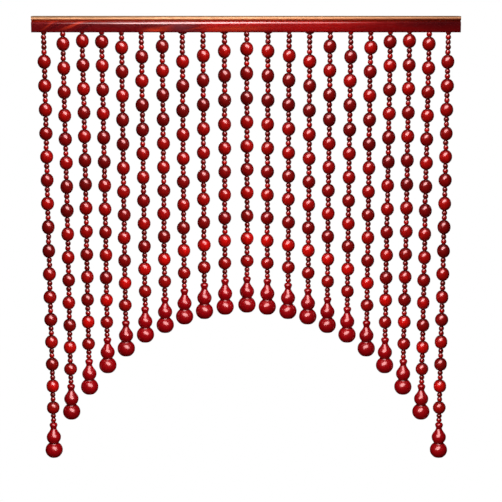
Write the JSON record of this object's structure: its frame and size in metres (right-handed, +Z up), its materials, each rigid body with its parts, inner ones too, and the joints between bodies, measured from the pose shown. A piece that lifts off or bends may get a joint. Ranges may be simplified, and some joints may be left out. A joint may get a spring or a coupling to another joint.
{
  "type": "bead curtain with rail",
  "caption": "Door curtain of glossy dark-red wooden beads on straight strings, arched at the lower edge, each ending in a turned gourd, under a moulded wooden rail.",
  "frame": {"origin": "on the top face of the rail's batten, midway along the rail and above the line of the strings", "axes": "+Z up, +X along the rail to the right for someone in front of the curtain, +Y towards the back, so that the moulded front faces -Y"},
  "size_m": [0.799, 0.0399, 0.86],
  "materials": {
    "rosewood": "gloss lacquer",
    "gilt": "satin gilt paint",
    "batten_wood": "satin stain",
    "bead_wood": "gloss lacquer",
    "gourd_wood": "gloss lacquer"
  },
  "bodies": {
    "root": {"rail_moulding": "rosewood", "gilt_strip": "gilt", "rail_batten": "batten_wood", "string_01": "bead_wood", "string_02": "bead_wood", "string_03": "bead_wood", "string_04": "bead_wood", "string_05": "bead_wood", "string_06": "bead_wood", "string_07": "bead_wood", "string_08": "bead_wood", "string_09": "bead_wood", "string_10": "bead_wood", "string_11": "bead_wood", "string_12": "bead_wood", "string_13": "bead_wood", "string_14": "bead_wood", "string_15": "bead_wood", "string_16": "bead_wood", "string_17": "bead_wood", "string_18": "bead_wood", "string_19": "bead_wood", "string_20": "bead_wood", "string_21": "bead_wood", "gourd_01": "gourd_wood", "gourd_02": "gourd_wood", "gourd_03": "gourd_wood", "gourd_04": "gourd_wood", "gourd_05": "gourd_wood", "gourd_06": "gourd_wood", "gourd_07": "gourd_wood", "gourd_08": "gourd_wood", "gourd_09": "gourd_wood", "gourd_10": "gourd_wood", "gourd_11": "gourd_wood", "gourd_12": "gourd_wood", "gourd_13": "gourd_wood", "gourd_14": "gourd_wood", "gourd_15": "gourd_wood", "gourd_16": "gourd_wood", "gourd_17": "gourd_wood", "gourd_18": "gourd_wood", "gourd_19": "gourd_wood", "gourd_20": "gourd_wood", "gourd_21": "gourd_wood"}
  },
  "joints": []
}
